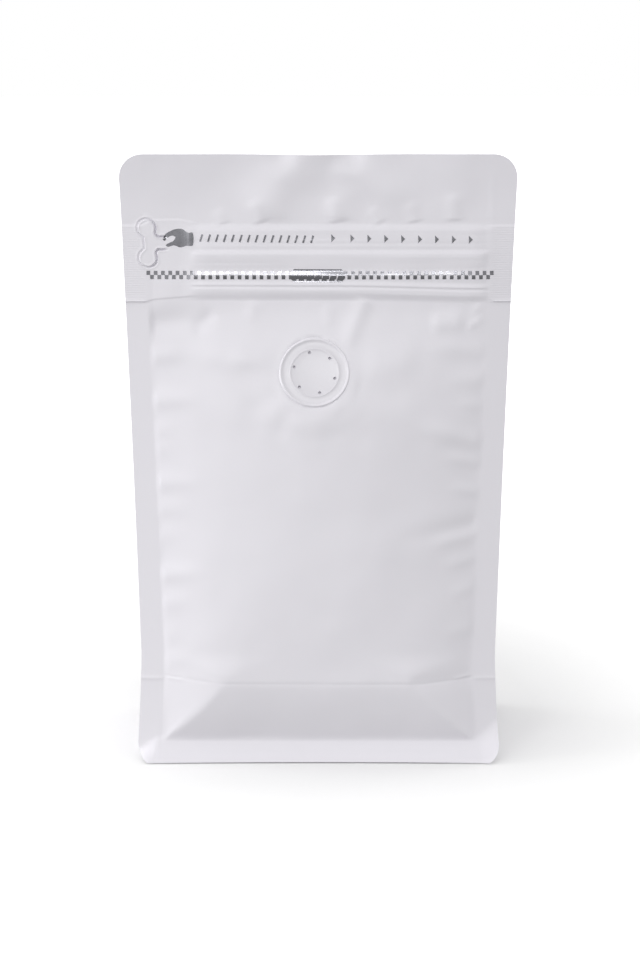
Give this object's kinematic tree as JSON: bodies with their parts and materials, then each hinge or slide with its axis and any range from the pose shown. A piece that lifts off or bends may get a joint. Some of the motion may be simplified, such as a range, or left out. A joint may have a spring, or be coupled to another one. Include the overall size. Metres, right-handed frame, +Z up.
{
  "type": "flat bottom coffee bag",
  "caption": "Shut flat-bottom coffee bag of matte white film, with side gussets, sealed edge fins, a zip band with a pull tab on the front, and a round one-way valve.",
  "frame": {"origin": "middle of the underside, on the surface that the bag stands on", "axes": "+Z up; the front panel, with the zip band and the valve, faces -Y; +X is to the right as seen from the front"},
  "size_m": [0.1302, 0.0752, 0.195],
  "materials": {
    "film": "matte white laminated film",
    "valve": "moulded white polyethylene under the film",
    "print": "grey ink, glossy"
  },
  "bodies": {
    "root": {"bag": "film", "valve": "valve"}
  },
  "joints": []
}
